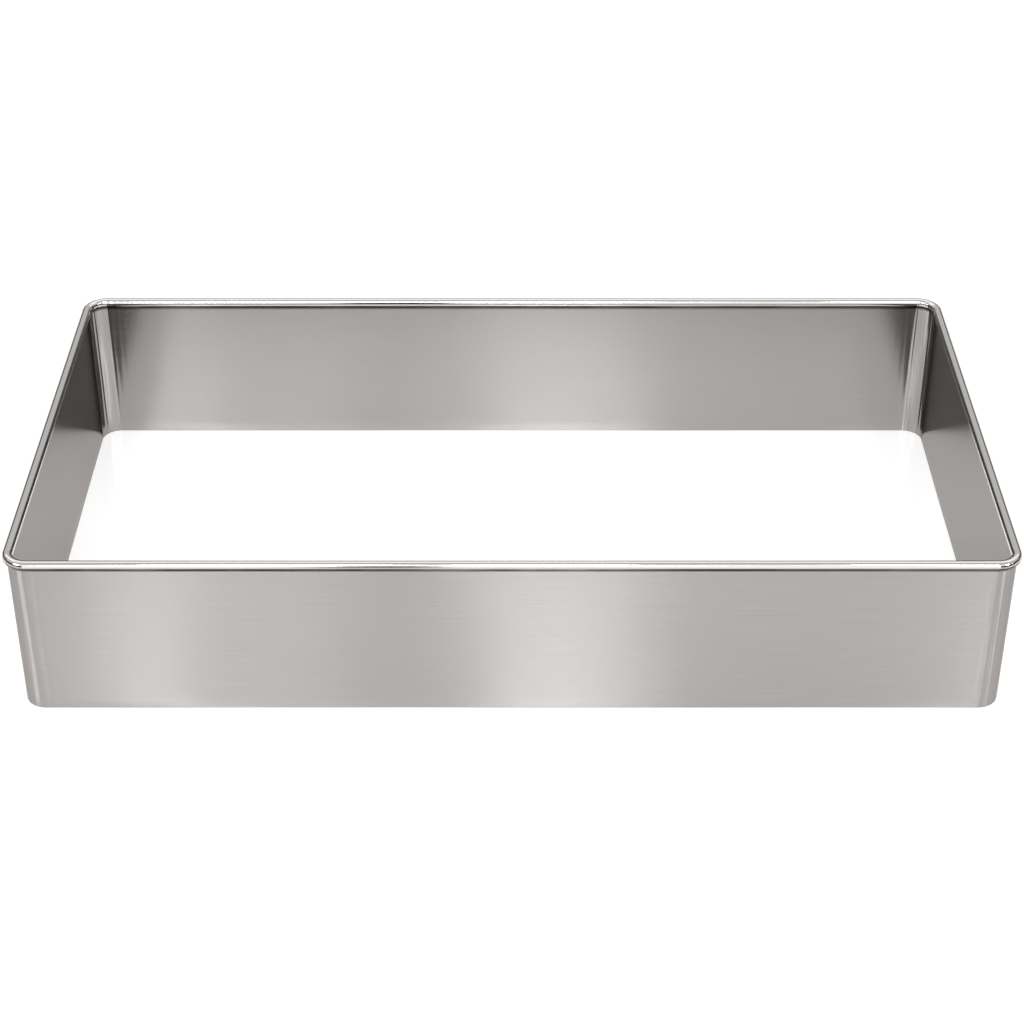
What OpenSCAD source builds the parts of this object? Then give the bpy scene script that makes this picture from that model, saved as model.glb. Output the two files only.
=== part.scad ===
// Rectangular cake ring: a bottomless frame bent from one strip of stainless steel.
// The top of the strip is bent a little inwards, then rolled outwards over a wire, so that the rim
// stands over the middle of the wall. A butt weld closes the strip.
// The origin is the centre of the plane that the bottom edge stands on, with +X along the long
// walls, +Y towards the rear wall and +Z up. Lengths are in millimetres.

/* [Ring] */
// Length over the outer faces of the two end walls
ring_length = 280; // [120:1:600]
// Depth over the outer faces of the two long walls
ring_depth = 152; // [80:1:400]
// Height from the bottom edge to the top of the rim
ring_height = 51; // [20:0.5:120]
// Radius of the outer face round each of the four corners
corner_radius = 6.5; // [4:0.5:30]

/* [Strip] */
// Thickness of the steel strip
strip_thickness = 0.6; // [0.4:0.05:1]

/* [Rim] */
// Diameter over the rolled rim
rim_diameter = 3; // [2.8:0.1:6]
// Gap left between the rolled edge of the strip and the outer face of the wall below the rim
lip_gap = 0.25; // [0.1:0.05:0.6]
// Inner radius of the small bend that carries the strip inwards, under the rim
neck_bend = 0.3; // [0.2:0.1:1]

/* [Rim wire] */
// Play between the wire and the inside of the roll, all round
wire_play = 0.05; // [0.02:0.01:0.15]
// Gap between the two cut ends of the wire
wire_end_gap = 0.5; // [0.2:0.1:3]

/* [Seam] */
// Width of the butt weld that joins the two ends of the strip
weld_width = 1.2; // [0.6:0.1:4]

/* [Hidden] */
$fn = 64;

// Sides in the order that the strip runs, counter-clockwise from the rear wall
REAR = 0;
LEFT = 1;

// The rim, as seen in a section with the wall's outer face at zero and outwards positive
rim_radius = rim_diameter / 2;
rim_out = -strip_thickness / 2;
rim_up = ring_height - rim_radius;
roll_middle = rim_radius - strip_thickness / 2;
wire_radius = rim_radius - strip_thickness - wire_play;

// The neck is an arc that leaves the wall upright and meets the roll where both have one tangent:
// the two centres lie a neck radius apart sideways, and the sum of the two radii apart in all
neck_radius = neck_bend + strip_thickness / 2;
neck_angle = acos(neck_radius / (neck_radius + roll_middle));
neck_foot = rim_up - (neck_radius + roll_middle) * sin(neck_angle);

// How far the wall and the roll run into the neck, so that the three make one piece
overlap = 0.02;

// The roll runs from the neck over the top and back under, as far as the gap at its lip allows
lip_angle = -acos((lip_gap - rim_out) / rim_radius);

// Section of the strip: the upright wall, the neck, and the roll that carries on from it
module strip_section() {
    translate([-strip_thickness, 0])
        square([strip_thickness, neck_foot + overlap]);
    translate([rim_out - neck_radius, neck_foot])
        intersection() {
            strip_circle(neck_radius);
            sector(0, neck_angle);
        }
    translate([rim_out, rim_up])
        difference() {
            strip_circle(roll_middle);
            sector(neck_angle - 180 + overlap / roll_middle * 180 / PI, lip_angle);
        }
}

// The strip's thickness carried round a whole circle of the given middle radius
module strip_circle(middle) {
    difference() {
        circle(r = middle + strip_thickness / 2);
        circle(r = middle - strip_thickness / 2);
    }
}

// A sector between two angles, reaching well past the rim
module sector(from, to) {
    reach = 2 * rim_diameter;
    steps = 4;
    polygon(concat(
        [[0, 0]],
        [for (i = [0:steps]) let (a = from + (to - from) * i / steps) reach * [cos(a), sin(a)]]
    ));
}

// Section of the wire, in the middle of the roll
module wire_section() {
    translate([rim_out, rim_up])
        circle(r = wire_radius);
}

// A section carried straight along X between two places, with its outside towards +Y
module straight_run(from, to) {
    translate([from, 0, 0])
        rotate([90, 0, 90])
            linear_extrude(height = to - from)
                children();
}

// A section carried round one corner, about an upright axis
module corner_bend() {
    rotate_extrude(angle = 90)
        translate([corner_radius, 0])
            children();
}

// A section carried round all four walls, with a gap in the middle of one of them
module round_the_ring(gap_side, gap) {
    for (side = [0:3]) {
        along = (side % 2 == 0) ? ring_length : ring_depth;
        across = (side % 2 == 0) ? ring_depth : ring_length;
        straight_end = along / 2 - corner_radius;
        rotate([0, 0, 90 * side]) {
            translate([0, across / 2, 0]) {
                if (side == gap_side) {
                    straight_run(-straight_end, -gap / 2) children();
                    straight_run(gap / 2, straight_end) children();
                } else {
                    straight_run(-straight_end, straight_end) children();
                }
            }
            translate([straight_end, across / 2 - corner_radius, 0])
                corner_bend() children();
        }
    }
}

// The strip, bent into a ring and rolled over at the top; its two ends face each other in the rear wall
module wall_band() {
    color("#b9b5b1")
        round_the_ring(REAR, weld_width) strip_section();
}

// The wire that the rim is rolled over; its two ends meet in the left end wall
module rim_wire() {
    color("#8f9296")
        round_the_ring(LEFT, wire_end_gap) wire_section();
}

// The weld that fills the gap between the ends of the strip, dressed flush on both faces
module seam_weld() {
    color("#a8a39e")
        translate([0, ring_depth / 2, 0])
            straight_run(-weld_width / 2, weld_width / 2) strip_section();
}

wall_band();
rim_wire();
seam_weld();
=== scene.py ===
import math

import bpy
import numpy as np
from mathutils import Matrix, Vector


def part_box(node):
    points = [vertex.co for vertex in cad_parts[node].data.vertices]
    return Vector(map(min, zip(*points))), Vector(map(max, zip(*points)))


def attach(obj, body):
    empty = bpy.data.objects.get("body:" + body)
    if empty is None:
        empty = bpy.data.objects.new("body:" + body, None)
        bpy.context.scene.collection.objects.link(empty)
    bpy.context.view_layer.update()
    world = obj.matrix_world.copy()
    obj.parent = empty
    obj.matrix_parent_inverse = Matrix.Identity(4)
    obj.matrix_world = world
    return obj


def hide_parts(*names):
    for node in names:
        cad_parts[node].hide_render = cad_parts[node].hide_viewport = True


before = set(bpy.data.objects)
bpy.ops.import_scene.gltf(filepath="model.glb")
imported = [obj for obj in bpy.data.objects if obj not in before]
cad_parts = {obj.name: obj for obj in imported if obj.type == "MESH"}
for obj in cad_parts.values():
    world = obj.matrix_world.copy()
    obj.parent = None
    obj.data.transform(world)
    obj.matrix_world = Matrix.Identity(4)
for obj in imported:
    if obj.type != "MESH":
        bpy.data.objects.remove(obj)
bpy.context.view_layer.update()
print("frame loaded: rectangular cake ring")

# The frame's own boxes give the strip's sizes. The weld's box spans one section of the strip,
# and its width is the rim's diameter. The rim stands over the middle of the wall.
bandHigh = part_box("wall_band")[1]
weldLow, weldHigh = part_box("seam_weld")
wireLow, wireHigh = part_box("rim_wire")

# What a user would change on the sheet metal. Lengths are in metres, and waves along a wall are
# given in radians per metre.
sheet = {
    "cornerRadius": 0.0065,    # outer face round each corner
    "lipGap": 0.00025,         # between the rolled edge and the wall below it
    "neckBend": 0.0003,        # inner radius of the bend that carries the strip in under the rim
    "wirePlay": 0.00005,       # between the wire and the roll
    "edgeRadius": 0.0002,      # the cut edges, tumbled to take the burr off
    "polishedFrom": 0.0001,    # how far up the neck the polish of the rim starts
    "waveHeight": 0.00006,     # how far the walls stray from flat, less here than a hand would feel
    "slowWave": 47,            # along the long walls
    "shortWave": 113,          # on top of it
    "shortShare": 0.35,        # its height, against the slow wave's
    "endWave": 71,             # along the end walls
    "rearTone": 2.3,           # where the waves start, in radians
    "frontTone": 0.4,
    "endTone": 1.9,
    "bendReach": 0.001,        # how far in from a wall's face a bend still counts as that wall
    "creaseDepth": 0.000025,   # fine upright folds that the bending tool leaves in each corner
    "rearCreases": 1.9,        # how much deeper they are in the two rear corners
    "creaseSpacing": 0.0021,
    "creaseReach": 0.0052,     # how far either side of a corner's middle they run out
    "creaseLean": 0.9,         # how far they sway sideways, in radians,
    "creaseSway": 80,          # and how soon, in radians per metre of height
    "fineCreases": 0.6,        # a second set, against the first: its depth, its number and its sway
    "fineNumber": 1.7,
    "fineLean": -1.4,
    "fineTone": 2,             # and where it starts, in radians
    "toneX": 1.3,              # these two keep the four corners from being alike
    "toneY": 2.1,
    "runStep": 0.004,          # grid steps along the walls, near the corners and in them
    "nearCornerStep": 0.0005,
    "nearCornerReach": 0.006,
    "cornerSteps": 48,
    "seamSteps": 4,
    "wallSteps": 13,           # grid steps up the wall, and round the neck, the roll and the edges
    "underRimSteps": 8,
    "underRimReach": 0.002,    # the top of the wall, which has finer steps
    "neckSteps": 9,
    "rollSteps": 35,
    "edgeSteps": 4,
}
rimRadius = (weldHigh.y - weldLow.y) / 2
wireRadius = (wireHigh.z - wireLow.z) / 2
stripThickness = rimRadius - wireRadius - sheet["wirePlay"]
rimOut = -stripThickness / 2
rimUp = bandHigh.z - rimRadius
halfDepth = weldHigh.y - rimRadius - rimOut
halfLength = bandHigh.x - rimRadius - rimOut
weldHalf = weldHigh.x
rollMiddle = rimRadius - stripThickness / 2
neckRadius = sheet["neckBend"] + stripThickness / 2
neckAngle = math.acos(neckRadius / (neckRadius + rollMiddle))
neckFoot = rimUp - (neckRadius + rollMiddle) * math.sin(neckAngle)
neckEnd = neckFoot + neckRadius * neckAngle    # measured along the strip from its bottom edge


def linearColour(hexCode):
    # sRGB hex to linear: each channel over 255, then the sRGB curve undone
    channels = [int(hexCode[i:i + 2], 16) / 255 for i in (1, 3, 5)]
    return [c / 12.92 if c <= 0.04045 else ((c + 0.055) / 1.055) ** 2.4 for c in channels] + [1.0]


def addNode(tree, kind, settings=None, links=None):
    # one shader node with its settings, and its inputs linked from other nodes' outputs
    node = tree.nodes.new(kind)
    for name, value in (settings or {}).items():
        if isinstance(name, int) or name in node.inputs:
            node.inputs[name].default_value = value
        else:
            setattr(node, name, value)
    for name, source in (links or {}).items():
        tree.links.new(source, node.inputs[name])
    return node


def emptyMaterial(name):
    # a new material without nodes, and its node tree
    material = bpy.data.materials.new(name)
    material.use_nodes = True
    material.node_tree.nodes.clear()
    return material, material.node_tree


# Section of the strip. The middle of its thickness runs straight up the wall, then inwards round
# the neck, an arc about a centre inside the wall, then outwards round the roll, an arc the other
# way about the rim's centre. The two faces lie half a thickness to either side, and near the cut
# edges that half thickness shrinks as a quarter circle, which rounds the edges.
def stripSection():
    edge = sheet["edgeRadius"]
    wallTop = neckFoot - sheet["underRimReach"]
    lipAngle = -math.acos((sheet["lipGap"] - rimOut) / rimRadius)
    total = neckEnd + (math.pi + neckAngle - lipAngle) * rollMiddle
    quarter = edge * (1 - np.cos(np.linspace(0, math.pi / 2, sheet["edgeSteps"] + 1)))
    along = np.concatenate([
        quarter,
        np.linspace(edge, wallTop, sheet["wallSteps"] + 1)[1:],
        np.linspace(wallTop, neckFoot, sheet["underRimSteps"] + 1)[1:],
        np.linspace(neckFoot, neckEnd, sheet["neckSteps"] + 1)[1:],
        np.linspace(neckEnd, total - edge, sheet["rollSteps"] + 1)[1:],
        (total - quarter[::-1])[1:],
    ])
    onNeck = (along > neckFoot) & (along <= neckEnd)
    onRoll = along > neckEnd
    neckTurn = np.clip(along - neckFoot, 0, None) / neckRadius
    rollTurn = math.pi + neckAngle - np.clip(along - neckEnd, 0, None) / rollMiddle
    middleOut = np.select([onRoll, onNeck], [rimOut + rollMiddle * np.cos(rollTurn),
                                             rimOut - neckRadius * (1 - np.cos(neckTurn))], rimOut)
    middleUp = np.select([onRoll, onNeck], [rimUp + rollMiddle * np.sin(rollTurn),
                                            neckFoot + neckRadius * np.sin(neckTurn)], along)
    towardsOut = np.select([onRoll, onNeck], [-np.cos(rollTurn), np.cos(neckTurn)], 1.0)
    towardsUp = np.select([onRoll, onNeck], [-np.sin(rollTurn), np.sin(neckTurn)], 0.0)
    fromEdge = np.minimum(np.minimum(along, total - along), edge)
    rounding = np.sqrt(np.clip(edge ** 2 - (edge - fromEdge) ** 2, 0, None))
    thick = stripThickness / 2 - edge + rounding
    outerFace = np.column_stack([middleOut + towardsOut * thick, middleUp + towardsUp * thick])
    innerFace = np.column_stack([middleOut - towardsOut * thick, middleUp - towardsUp * thick])
    return np.concatenate([outerFace, innerFace[::-1]]), np.concatenate([along, along[::-1]])


# Places along one straight run: even steps in its middle, finer ones close to the corners
def runPlaces(start, end):
    near = sheet["nearCornerReach"]
    fine = max(1, round(near / sheet["nearCornerStep"]))
    middle = max(2, round((end - start - 2 * near) / sheet["runStep"]))
    return np.concatenate([
        np.linspace(start, start + near, fine + 1)[:-1],
        np.linspace(start + near, end - near, middle + 1),
        np.linspace(end - near, end, fine + 1)[1:],
    ])


# The path of the wall's outer face, counter-clockwise from one point of the rear wall all the way
# round to another, in five runs with a corner after each of the first four. Each run is worked out
# as if it lay in the rear wall, and turned to its side. Straight runs keep one normal; a corner's
# points lie on a quarter circle about its axis.
def ringPath(fromX, toX):
    radius = sheet["cornerRadius"]
    places = []
    normals = []
    for side in range(5):
        turn = math.pi / 2 * side
        along, across = (halfLength, halfDepth) if side % 2 == 0 else (halfDepth, halfLength)
        start = -fromX if side == 0 else -(along - radius)
        end = -toX if side == 4 else along - radius
        run = runPlaces(start, end)
        local = np.column_stack([-run, np.full_like(run, across)])
        localNormal = np.tile([0.0, 1.0], (len(run), 1))
        if side < 4:
            angle = np.linspace(0, math.pi / 2, sheet["cornerSteps"] + 1)[1:]
            bend = np.column_stack([-np.sin(angle), np.cos(angle)])
            centre = np.array([-(along - radius), across - radius])
            local = np.concatenate([local, centre + radius * bend])
            localNormal = np.concatenate([localNormal, bend])
        spin = np.array([[math.cos(turn), math.sin(turn)], [-math.sin(turn), math.cos(turn)]])
        first = 1 if side else 0    # a run's first point is the last corner's last one
        places.append((local @ spin)[first:])
        normals.append((localNormal @ spin)[first:])
    return np.concatenate(places), np.concatenate(normals)


# The short straight path across the seam in the rear wall
def seamPath(fromX, toX):
    x = np.linspace(fromX, toX, sheet["seamSteps"] + 1)
    return np.column_stack([x, np.full_like(x, halfDepth)]), np.tile([0.0, 1.0], (len(x), 1))


# How far the sheet strays from its true place, outwards. Along each long wall a slow sine wave and
# a short one add up, and along each end wall runs one more. They fade out towards the corners,
# where the bend stiffens the sheet, and towards the rim. Round each corner two sets of short sine
# waves make upright creases, which fade as a bell curve of the distance along the sheet from the
# corner's middle.
def wallWave(place, height):
    x = place[:, 0]
    y = place[:, 1]
    radius = sheet["cornerRadius"]
    onLong = np.abs(y) > halfDepth - sheet["bendReach"]
    onEnd = np.abs(x) > halfLength - sheet["bendReach"]
    fadeX = onLong * np.clip(1 - (x / (halfLength - radius)) ** 2, 0, 1)
    fadeY = onEnd * np.clip(1 - (y / (halfDepth - radius)) ** 2, 0, 1)
    tone = np.where(y > 0, sheet["rearTone"], sheet["frontTone"])
    longWave = np.sin(x * sheet["slowWave"] + tone)
    longWave = longWave + sheet["shortShare"] * np.sin(x * sheet["shortWave"] + 2 * tone)
    endWave = np.sin(y * sheet["endWave"] + sheet["endTone"] * np.sign(x))
    wave = fadeX * longWave + fadeY * endWave
    drop = np.clip(1 - height / neckFoot, 0, 1)    # below the rim, 1 at the bottom edge
    slow = sheet["waveHeight"] * wave[:, None] * np.sin(math.pi / 2 * drop)[None, :]

    overX = np.abs(x) - (halfLength - radius)
    overY = np.abs(y) - (halfDepth - radius)
    angle = np.arctan2(np.clip(overY, 0, None), np.clip(overX, 0, None))
    fromMiddle = radius * (angle - math.pi / 4) + np.clip(-overX, 0, None) - np.clip(-overY, 0, None)
    fade = np.exp(-(fromMiddle / sheet["creaseReach"]) ** 2)
    cornerTone = sheet["toneX"] * np.sign(x) + sheet["toneY"] * np.sign(y)
    turns = (2 * math.pi * fromMiddle / sheet["creaseSpacing"] + cornerTone)[:, None]
    lean = sheet["creaseLean"] * np.sin(height * sheet["creaseSway"])
    fine = np.sin(sheet["fineNumber"] * turns + sheet["fineLean"] * lean + sheet["fineTone"])
    crease = np.sin(turns + lean) + sheet["fineCreases"] * fine
    depth = sheet["creaseDepth"] * np.where(y > 0, sheet["rearCreases"], 1)
    return slow + (depth * fade)[:, None] * crease


# Painted shade under the rim: a dark grey that stands in for the shadow there and for the dark that
# the roll's underside reflects. The steel's colour goes to it by the point attribute that holds the
# painted shade, unevenly, as noise along the ring says
underRimShade = {
    "colour": "#2b2927",
    "coverLeast": 0.80,
    "coverMost": 0.97,
    "patchSize": 0.02,
    "patchNoise": (0.3, 0.6),  # the part of the noise that goes from the least cover to the most
    "outsideFrom": 0.25,       # how much the roll's skin faces up where the painted shade starts outside,
    "outsideTo": -0.05,        # and where it is whole
    "insideFrom": 0.05,        # the same on the inside of the ring
    "insideTo": -0.40,
    "wallFade": 0.0005,        # how far it runs down the wall inside
}


# How much painted shade each point of the section gets, from 0 to 1. On the skin of the roll a
# smooth step rises as the skin turns to face down: painted shade on the roll's underside. The inner
# face is fully shaded all over the neck, and below it by a bell curve of the distance down: painted
# shade under the rim. The outer face of the wall, which turns into the hidden side of the roll, gets
# none.
def paintedShadePlaces(section, along):
    facesUp = (section[:, 1] - rimUp) / rimRadius
    outside = section[:, 0] > rimOut
    start = np.where(outside, underRimShade["outsideFrom"], underRimShade["insideFrom"])
    whole = np.where(outside, underRimShade["outsideTo"], underRimShade["insideTo"])
    turned = np.clip((start - facesUp) / (start - whole), 0, 1)
    onRoll = turned ** 2 * (3 - 2 * turned)
    below = np.clip(neckFoot - along, 0, None)
    paintedShade = np.where(along > neckEnd, onRoll, np.exp(-(below / underRimShade["wallFade"]) ** 2))
    paintedShade[:len(along) // 2] = 0
    return paintedShade


# The steel's colour with the painted shade over it. The unshaded colour is the mix's input 6, given
# as a value in the settings or as a node's output in the links.
def paintedShadeColour(tree, settings, links):
    # the painted shade under the rim, read from the point attribute
    paintedShade = addNode(tree, "ShaderNodeAttribute", {"attribute_name": "paintedShade"}).outputs["Fac"]
    inPlace = addNode(tree, "ShaderNodeTexCoord").outputs["Object"]
    patches = addNode(tree, "ShaderNodeTexNoise",
                      {"Scale": 1 / underRimShade["patchSize"], "Detail": 2.0},
                      {"Vector": inPlace}).outputs["Fac"]
    cover = addNode(tree, "ShaderNodeMapRange",
                    {"From Min": underRimShade["patchNoise"][0], "From Max": underRimShade["patchNoise"][1],
                     "To Min": underRimShade["coverLeast"], "To Max": underRimShade["coverMost"]},
                    {"Value": patches}).outputs["Result"]
    amount = addNode(tree, "ShaderNodeMath", {"operation": "MULTIPLY"},
                     {0: paintedShade, 1: cover}).outputs["Value"]
    return addNode(tree, "ShaderNodeMix",
                   {"data_type": "RGBA", 7: linearColour(underRimShade["colour"]), **settings},
                   {0: amount, **links}).outputs[2]


# The corners of every quad of the swept grid, as row and column numbers: the quads between two
# neighbouring rows, closed round the section, and then the caps, quads across the thickness of
# the strip in the first row and the last. The column after the last one is the first again, and
# keeps its own number here because the UV map is cut open there.
def gridCorners(rows, columns):
    r = np.repeat(np.arange(rows - 1), columns)
    c = np.tile(np.arange(columns), rows - 1)
    wallRows = np.column_stack([r, r + 1, r + 1, r])
    wallColumns = np.column_stack([c, c, c + 1, c + 1])
    k = np.arange(columns // 2 - 1)
    capColumns = np.column_stack([k, k + 1, columns - 2 - k, columns - 1 - k])
    cornerRows = np.concatenate([wallRows, np.zeros_like(capColumns),
                                 np.full_like(capColumns, rows - 1)])
    cornerColumns = np.concatenate([wallColumns, capColumns, capColumns[:, ::-1]])
    return cornerRows, cornerColumns


# The length walked so far at each point of a line, from 0 at its first point
def walked(line):
    return np.concatenate([[0], np.cumsum(np.linalg.norm(np.diff(line, axis=0), axis=1))])


# The section carried along the path: a grid of path points by section points. Each point is the
# path's point plus the section's distance outwards, with the waves, times the path's normal. The
# UV map is in metres, across the strip's grain and along it.
def sweepStrip(name, place, normal):
    section, along = stripSection()
    rows, columns = len(place), len(section)
    out = section[None, :, 0] + wallWave(place, section[:, 1])
    points = np.empty((rows, columns, 3))
    points[..., :2] = place[:, None, :] + normal[:, None, :] * out[..., None]
    points[..., 2] = section[None, :, 1]
    cornerRows, cornerColumns = gridCorners(rows, columns)
    mesh = bpy.data.meshes.new(name)
    mesh.from_pydata(points.reshape(-1, 3), [], cornerRows * columns + cornerColumns % columns)
    roundSection = walked(np.concatenate([section, section[:1]]))
    uv = np.stack([roundSection[cornerColumns], walked(place)[cornerRows]], -1)
    layer = mesh.uv_layers.new(name="sheetUv")
    layer.data.foreach_set("uv", uv.astype(np.float32).reshape(-1))

    # the polished rim: quads between two section points that both lie on the neck or the roll
    polished = along > neckFoot + sheet["polishedFrom"]
    onRim = polished[cornerColumns[:, 0]] & polished[cornerColumns[:, 2] % columns]
    onRim[(rows - 1) * columns:] = False
    mesh.polygons.foreach_set("material_index", onRim.astype(np.int32))
    mesh.polygons.foreach_set("use_smooth", np.ones(len(onRim), bool))

    # the cut ends stay crisp: an edge is sharp where both its points lie in the same end row
    ends = np.empty(len(mesh.edges) * 2, np.int32)
    mesh.edges.foreach_get("vertices", ends)
    rowOf = (ends // columns).reshape(-1, 2)
    crisp = (rowOf[:, 0] == rowOf[:, 1]) & np.isin(rowOf[:, 0], (0, rows - 1))
    mesh.attributes.new("sharp_edge", "BOOLEAN", "EDGE").data.foreach_set("value", crisp)
    # painted shade under the rim and on the roll's underside, 0 to 1 at each point
    paintedShade = mesh.attributes.new("paintedShade", "FLOAT", "POINT")
    paintedShade.data.foreach_set("value", np.tile(paintedShadePlaces(section, along), rows).astype(np.float32))
    mesh.update()
    piece = bpy.data.objects.new(name, mesh)
    bpy.context.scene.collection.objects.link(piece)
    return piece


# Stainless steel, cold rolled and linished along the strip: the grain runs level, so a
# reflection keeps its place along the wall and smears up and down it, and fine level lines show.
satin = {
    "colour": "#9f9c9a",          # in the scratches, where the steel is freshly cut
    "dullColour": "#9a9795",      # between them
    "roughLow": 0.17,             # between the scratches
    "roughHigh": 0.22,            # in them
    "anisotropy": 0.90,
    "edgeTint": "#d2d0ce",        # steel brightens less towards grazing than the default
    "grainSpacing": 0.0003,       # the real grain is about 0.05 mm: drawn coarser, so that it shows
    "grainLength": 0.03,
    "grainStrength": 0.02,
    "grainNoise": (0.43, 0.68),   # the noise where a scratch starts, and where it is at its deepest
    "cloudSize": 0.03,            # faint clouds that handling leaves
    "cloudShare": 0.12,
}
bumpDepth = 0.0001    # how deep a pattern's bumps are at a strength of 1


def satinStainlessLinished():
    material, tree = emptyMaterial("satinStainlessLinished")
    sheetUv = addNode(tree, "ShaderNodeUVMap", {"uv_map": "sheetUv"}).outputs["UV"]
    inPlace = addNode(tree, "ShaderNodeTexCoord").outputs["Object"]
    grainPlace = addNode(tree, "ShaderNodeMapping",
                         {"Scale": (1 / satin["grainSpacing"], 1 / satin["grainLength"], 1)},
                         {"Vector": sheetUv}).outputs["Vector"]
    grain = addNode(tree, "ShaderNodeTexNoise", {"Scale": 1.0, "Detail": 4.0, "Roughness": 0.65},
                    {"Vector": grainPlace}).outputs["Fac"]
    clouds = addNode(tree, "ShaderNodeTexNoise",
                     {"Scale": 1 / satin["cloudSize"], "Detail": 3.0, "Roughness": 0.5},
                     {"Vector": inPlace}).outputs["Fac"]
    both = addNode(tree, "ShaderNodeMath", {"operation": "MULTIPLY_ADD", 1: satin["cloudShare"]},
                   {0: clouds, 2: grain}).outputs["Value"]
    scratched = addNode(tree, "ShaderNodeMapRange",
                        {"From Min": satin["grainNoise"][0], "From Max": satin["grainNoise"][1]},
                        {"Value": both}).outputs["Result"]
    rough = addNode(tree, "ShaderNodeMapRange",
                    {"To Min": satin["roughLow"], "To Max": satin["roughHigh"]},
                    {"Value": scratched}).outputs["Result"]
    unshaded = addNode(tree, "ShaderNodeMix",
                    {"data_type": "RGBA", 6: linearColour(satin["dullColour"]),
                     7: linearColour(satin["colour"])}, {0: scratched}).outputs[2]
    # painted shade under the rim goes over the steel's colour here
    colour = paintedShadeColour(tree, {}, {6: unshaded})
    bump = addNode(tree, "ShaderNodeBump",
                   {"Strength": satin["grainStrength"], "Distance": bumpDepth},
                   {"Height": grain}).outputs["Normal"]
    tangent = addNode(tree, "ShaderNodeTangent",
                      {"direction_type": "UV_MAP", "uv_map": "sheetUv"}).outputs["Tangent"]
    steel = addNode(tree, "ShaderNodeBsdfPrincipled",
                    {"Metallic": 1.0, "Anisotropic": satin["anisotropy"],
                     "Specular Tint": linearColour(satin["edgeTint"])},
                    {"Base Color": colour, "Roughness": rough, "Normal": bump, "Tangent": tangent})
    addNode(tree, "ShaderNodeOutputMaterial", None, {"Surface": steel.outputs["BSDF"]})
    return material


# The same steel, rolled over the wire and polished on the rim: close to a mirror, with fine
# lines round the ring where the rolls rubbed.
rim = {
    "colour": "#dad7d4",
    "roughLow": 0.06,
    "roughHigh": 0.12,
    "lineSpacing": 0.0004,
    "lineLength": 0.05,
    "lineStrength": 0.015,
    "lineNoise": (0.4, 0.65),     # the part of the noise that goes from smooth to rough
}


def polishedRolledRim():
    material, tree = emptyMaterial("polishedRolledRim")
    sheetUv = addNode(tree, "ShaderNodeUVMap", {"uv_map": "sheetUv"}).outputs["UV"]
    linePlace = addNode(tree, "ShaderNodeMapping",
                        {"Scale": (1 / rim["lineSpacing"], 1 / rim["lineLength"], 1)},
                        {"Vector": sheetUv}).outputs["Vector"]
    lines = addNode(tree, "ShaderNodeTexNoise", {"Scale": 1.0, "Detail": 2.0, "Roughness": 0.5},
                    {"Vector": linePlace}).outputs["Fac"]
    rough = addNode(tree, "ShaderNodeMapRange",
                    {"From Min": rim["lineNoise"][0], "From Max": rim["lineNoise"][1],
                     "To Min": rim["roughLow"], "To Max": rim["roughHigh"]},
                    {"Value": lines}).outputs["Result"]
    bump = addNode(tree, "ShaderNodeBump",
                   {"Strength": rim["lineStrength"], "Distance": bumpDepth},
                   {"Height": lines}).outputs["Normal"]
    # painted shade under the rim and on the roll's underside goes over the rim's colour here
    colour = paintedShadeColour(tree, {6: linearColour(rim["colour"])}, {})
    steel = addNode(tree, "ShaderNodeBsdfPrincipled", {"Metallic": 1.0},
                    {"Base Color": colour, "Roughness": rough, "Normal": bump})
    addNode(tree, "ShaderNodeOutputMaterial", None, {"Surface": steel.outputs["BSDF"]})
    return material


# Stainless wire, cold drawn and left as it came from the die: duller and darker than the sheet,
# with long lines along it.
wire = {
    "colour": "#8f8c88",
    "roughLow": 0.28,
    "roughHigh": 0.42,
    "lineSpacing": 0.00015,
    "lineLength": 0.02,
    "lineStrength": 0.1,
    "lineNoise": (0.4, 0.65),     # the same as on the rim
}


def drawnStainlessWire():
    material, tree = emptyMaterial("drawnStainlessWire")
    inPlace = addNode(tree, "ShaderNodeTexCoord").outputs["Object"]
    linePlace = addNode(tree, "ShaderNodeMapping",
                        {"Scale": (1 / wire["lineLength"], 1 / wire["lineLength"],
                                   1 / wire["lineSpacing"])},
                        {"Vector": inPlace}).outputs["Vector"]
    lines = addNode(tree, "ShaderNodeTexNoise", {"Scale": 1.0, "Detail": 2.0},
                    {"Vector": linePlace}).outputs["Fac"]
    rough = addNode(tree, "ShaderNodeMapRange",
                    {"From Min": wire["lineNoise"][0], "From Max": wire["lineNoise"][1],
                     "To Min": wire["roughLow"], "To Max": wire["roughHigh"]},
                    {"Value": lines}).outputs["Result"]
    bump = addNode(tree, "ShaderNodeBump",
                   {"Strength": wire["lineStrength"], "Distance": bumpDepth},
                   {"Height": lines}).outputs["Normal"]
    steel = addNode(tree, "ShaderNodeBsdfPrincipled",
                    {"Base Color": linearColour(wire["colour"]), "Metallic": 1.0},
                    {"Roughness": rough, "Normal": bump})
    addNode(tree, "ShaderNodeOutputMaterial", None, {"Surface": steel.outputs["BSDF"]})
    return material


satinSteel = satinStainlessLinished()
rimSteel = polishedRolledRim()
wireSteel = drawnStainlessWire()
print("steels ready")

place, normal = ringPath(-weldHalf, weldHalf)
bandPiece = sweepStrip("rolledBand", place, normal)
bandPiece.data.materials.append(satinSteel)
bandPiece.data.materials.append(rimSteel)
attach(bandPiece, "root")
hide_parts("wall_band")

place, normal = seamPath(weldHalf, -weldHalf)
weldPiece = sweepStrip("dressedWeld", place, normal)
weldPiece.data.materials.append(satinSteel)
weldPiece.data.materials.append(rimSteel)
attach(weldPiece, "root")
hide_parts("seam_weld")

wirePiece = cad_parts["rim_wire"]
wirePiece.data.materials.clear()
wirePiece.data.materials.append(wireSteel)
print("ring built")

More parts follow.
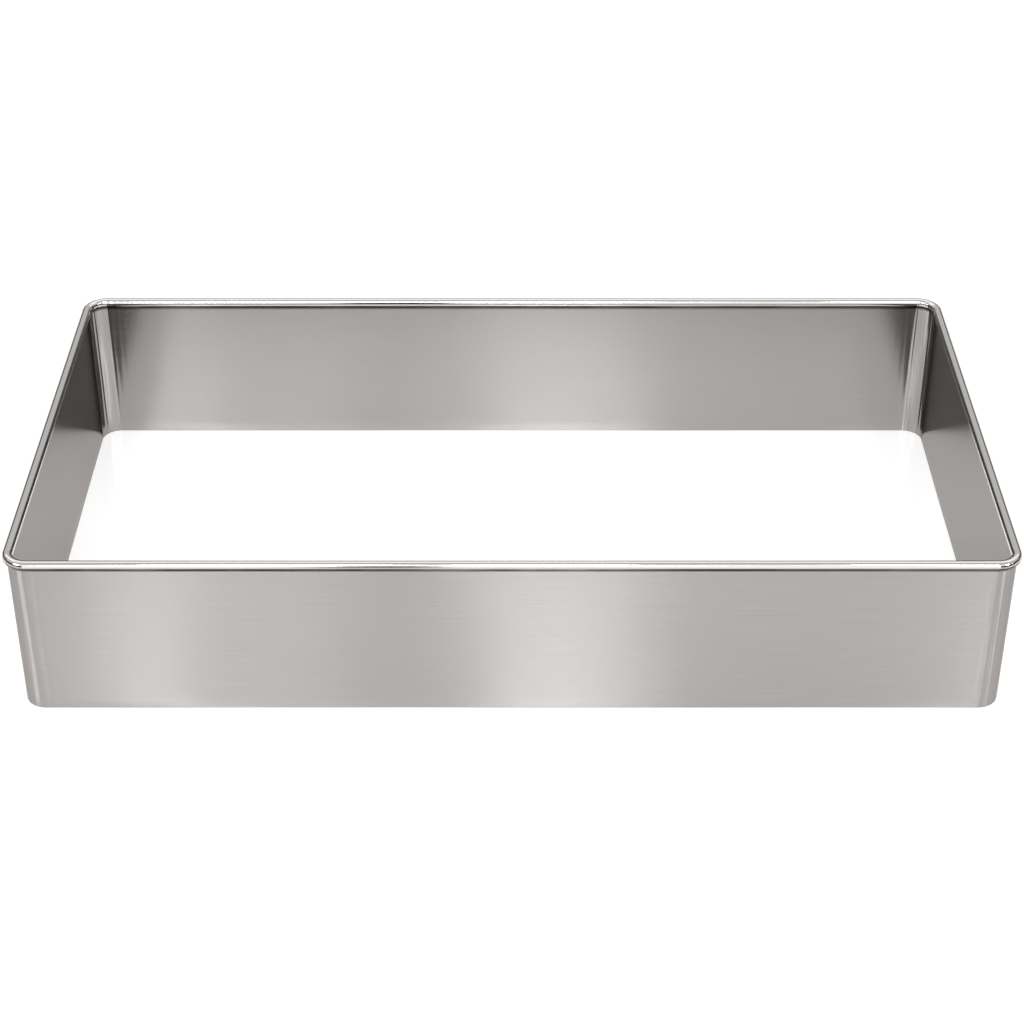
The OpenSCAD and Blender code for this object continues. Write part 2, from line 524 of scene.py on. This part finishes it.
# The camera: a long lens a little above the ring, looking down on it
camera = {
    "focalPixels": 2239.4,     # focal length in pixels of a picture 1024 wide
    "pictureWidth": 1024,
    "place": (0.0, -0.5789, 0.4033),
    "pitch": 33.73,            # degrees below level
    "filmWidth": 36.0,         # in millimetres
    "nearest": 0.01,           # what it sees starts and ends here, in metres
    "furthest": 100,
}


def placeCamera():
    lens = bpy.data.cameras.new("ringCamera")
    lens.sensor_fit = "HORIZONTAL"
    lens.sensor_width = camera["filmWidth"]
    lens.lens = camera["filmWidth"] * camera["focalPixels"] / camera["pictureWidth"]
    lens.clip_start = camera["nearest"]
    lens.clip_end = camera["furthest"]
    holder = bpy.data.objects.new("ringCamera", lens)
    holder.location = camera["place"]
    holder.rotation_euler = (math.radians(90 - camera["pitch"]), 0, 0)
    bpy.context.scene.collection.objects.link(holder)
    bpy.context.scene.camera = holder


placeCamera()
print("camera placed")

# The studio: a glazed pale floor, wide softboxes in front of the ring and behind it, a sky that is
# dim near the horizon, and tall strips in front. The glazed floor carries the strips into the
# long walls as upright bands, into the rear wall over the front wall's rim. Two pale cards stand
# under the strips, and two side softboxes light the corner bends. A brightness of 1 is white.
studio = {
    "floorSize": 16,
    "floorColour": "#b8b8b8",
    "floorRoughness": 0.10,
    "floorIor": 1.7,
    "floorLift": 0.64,        # what the floor lacks to be white, as the camera and the metal see it
    "farLift": 0.50,          # the same away from the ring, which shades it there no more
    "farFrom": 0.15,
    "farTo": 0.26,
    "liftedDepth": 1.5,       # rays of a greater depth see the floor without its lift
    "skyLow": 0.04,
    "skyHigh": 0.65,
    "skyTilt": 9.0,           # degrees that the sky's dim ring is raised in front
    "skyFrom": 16.0,          # the sky brightens between these elevations
    "skyTo": 34.0,
    "stripPlane": -1.576,     # how far in front the strips and the cards stand
    "stripLow": 1.02,         # the strips' lowest and highest points
    "stripHigh": 2.60,
    "cardLow": 0.03,          # the same for the cards, which the rim shows
    "cardHigh": 0.98,
}
strips = [
    # name, middle, width, brightness
    ("leftStrip", -0.42, 0.10, 20.0),
    ("innerLeftStrip", -0.25, 0.12, 6.0),
    ("middleStrip", 0.05, 0.19, 18.0),
    ("rightStrip", 0.58, 0.10, 13.0),
]
cards = [
    # name, middle, width, brightness
    ("leftCard", -0.50, 0.62, 1.2),
    ("rightCard", 0.37, 0.88, 1.2),
]
softboxes = [
    # name, centre, width, height, brightness
    ("frontSoftbox", (0.0, -0.98, 0.90), 1.80, 0.60, 0.6),
    ("leftSoftbox", (-1.17, -0.84, 0.92), 0.45, 0.50, 8.0),
    ("rightSoftbox", (1.17, -0.84, 0.92), 0.45, 0.50, 8.0),
    ("rearSoftbox", (0.0, 1.00, 1.55), 3.00, 1.10, 0.7),
]


# The floor's glaze plus a plain glow, for rays from the camera, gloss and glass alone. The glow
# goes from one level to the other by a smooth step of the distance from the ring's middle.
def glazedFloor():
    material, tree = emptyMaterial("glazedFloor")
    glaze = addNode(tree, "ShaderNodeBsdfPrincipled",
                    {"Base Color": linearColour(studio["floorColour"]),
                     "Roughness": studio["floorRoughness"], "IOR": studio["floorIor"]})
    path = addNode(tree, "ShaderNodeLightPath")
    cameraOrGloss = addNode(tree, "ShaderNodeMath", {"operation": "ADD"},
                            {0: path.outputs["Is Camera Ray"], 1: path.outputs["Is Glossy Ray"]})
    seen = addNode(tree, "ShaderNodeMath", {"operation": "ADD", "use_clamp": True},
                   {0: cameraOrGloss.outputs[0], 1: path.outputs["Is Transmission Ray"]})
    early = addNode(tree, "ShaderNodeMath", {"operation": "LESS_THAN", 1: studio["liftedDepth"]},
                    {0: path.outputs["Ray Depth"]})
    seenEarly = addNode(tree, "ShaderNodeMath", {"operation": "MULTIPLY"},
                        {0: seen.outputs[0], 1: early.outputs[0]})
    inPlace = addNode(tree, "ShaderNodeTexCoord").outputs["Object"]
    fromMiddle = addNode(tree, "ShaderNodeVectorMath", {"operation": "LENGTH"},
                         {0: inPlace}).outputs["Value"]
    level = addNode(tree, "ShaderNodeMapRange",
                    {"interpolation_type": "SMOOTHSTEP",
                     "From Min": studio["farFrom"], "From Max": studio["farTo"],
                     "To Min": studio["floorLift"], "To Max": studio["farLift"]},
                    {"Value": fromMiddle}).outputs["Result"]
    lift = addNode(tree, "ShaderNodeMath", {"operation": "MULTIPLY"},
                   {0: seenEarly.outputs[0], 1: level})
    glow = addNode(tree, "ShaderNodeEmission", {"Color": (1, 1, 1, 1)},
                   {"Strength": lift.outputs[0]})
    both = addNode(tree, "ShaderNodeAddShader", None, {0: glaze.outputs[0], 1: glow.outputs[0]})
    addNode(tree, "ShaderNodeOutputMaterial", None, {"Surface": both.outputs[0]})
    return material


# One level square about the origin
def layFloor():
    half = studio["floorSize"] / 2
    mesh = bpy.data.meshes.new("studioFloor")
    mesh.from_pydata([(-half, -half, 0), (half, -half, 0), (half, half, 0), (-half, half, 0)],
                     [], [(0, 1, 2, 3)])
    mesh.materials.append(glazedFloor())
    floor = bpy.data.objects.new("studioFloor", mesh)
    bpy.context.scene.collection.objects.link(floor)


layFloor()


# One area light that faces along a direction; its power is pi times its area times its brightness
def softbox(name, centre, facing, width, height, brightness):
    light = bpy.data.lights.new(name, "AREA")
    light.shape = "RECTANGLE"
    light.size = width
    light.size_y = height
    light.energy = math.pi * width * height * brightness
    holder = bpy.data.objects.new(name, light)
    holder.location = centre
    holder.rotation_euler = (math.atan2(math.hypot(facing[0], facing[1]), -facing[2]), 0,
                             math.atan2(-facing[0], facing[1]))
    bpy.context.scene.collection.objects.link(holder)


# Upright lights in the strips' plane, which face the ring squarely
def uprights(rows, low, high):
    middleUp = (low + high) / 2
    for name, middle, width, brightness in rows:
        centre = (middle, studio["stripPlane"], middleUp)
        softbox(name, centre, (0, 1, 0), width, high - low, brightness)


uprights(strips, studio["stripLow"], studio["stripHigh"])
uprights(cards, studio["cardLow"], studio["cardHigh"])
for name, centre, width, height, brightness in softboxes:
    softbox(name, centre, [-c for c in centre], width, height, brightness)


# The sky's brightness depends only on the elevation above a plane that is tilted a little: a
# smooth step of the sine of that elevation
def softSky():
    world = bpy.data.worlds.new("softSky")
    bpy.context.scene.world = world
    world.use_nodes = True
    tree = world.node_tree
    tree.nodes.clear()
    tilt = math.radians(studio["skyTilt"])
    direction = addNode(tree, "ShaderNodeTexCoord").outputs["Generated"]
    height = addNode(tree, "ShaderNodeVectorMath",
                     {"operation": "DOT_PRODUCT", 1: (0, math.sin(tilt), math.cos(tilt))},
                     {0: direction}).outputs["Value"]
    level = addNode(tree, "ShaderNodeMapRange",
                    {"interpolation_type": "SMOOTHSTEP",
                     "From Min": math.sin(math.radians(studio["skyFrom"])),
                     "From Max": math.sin(math.radians(studio["skyTo"])),
                     "To Min": studio["skyLow"], "To Max": studio["skyHigh"]},
                    {"Value": height}).outputs["Result"]
    sky = addNode(tree, "ShaderNodeBackground", {"Color": (1, 1, 1, 1)}, {"Strength": level})
    addNode(tree, "ShaderNodeOutputWorld", None, {"Surface": sky.outputs[0]})


softSky()
bpy.context.scene.view_settings.view_transform = "Standard"
print("studio ready")
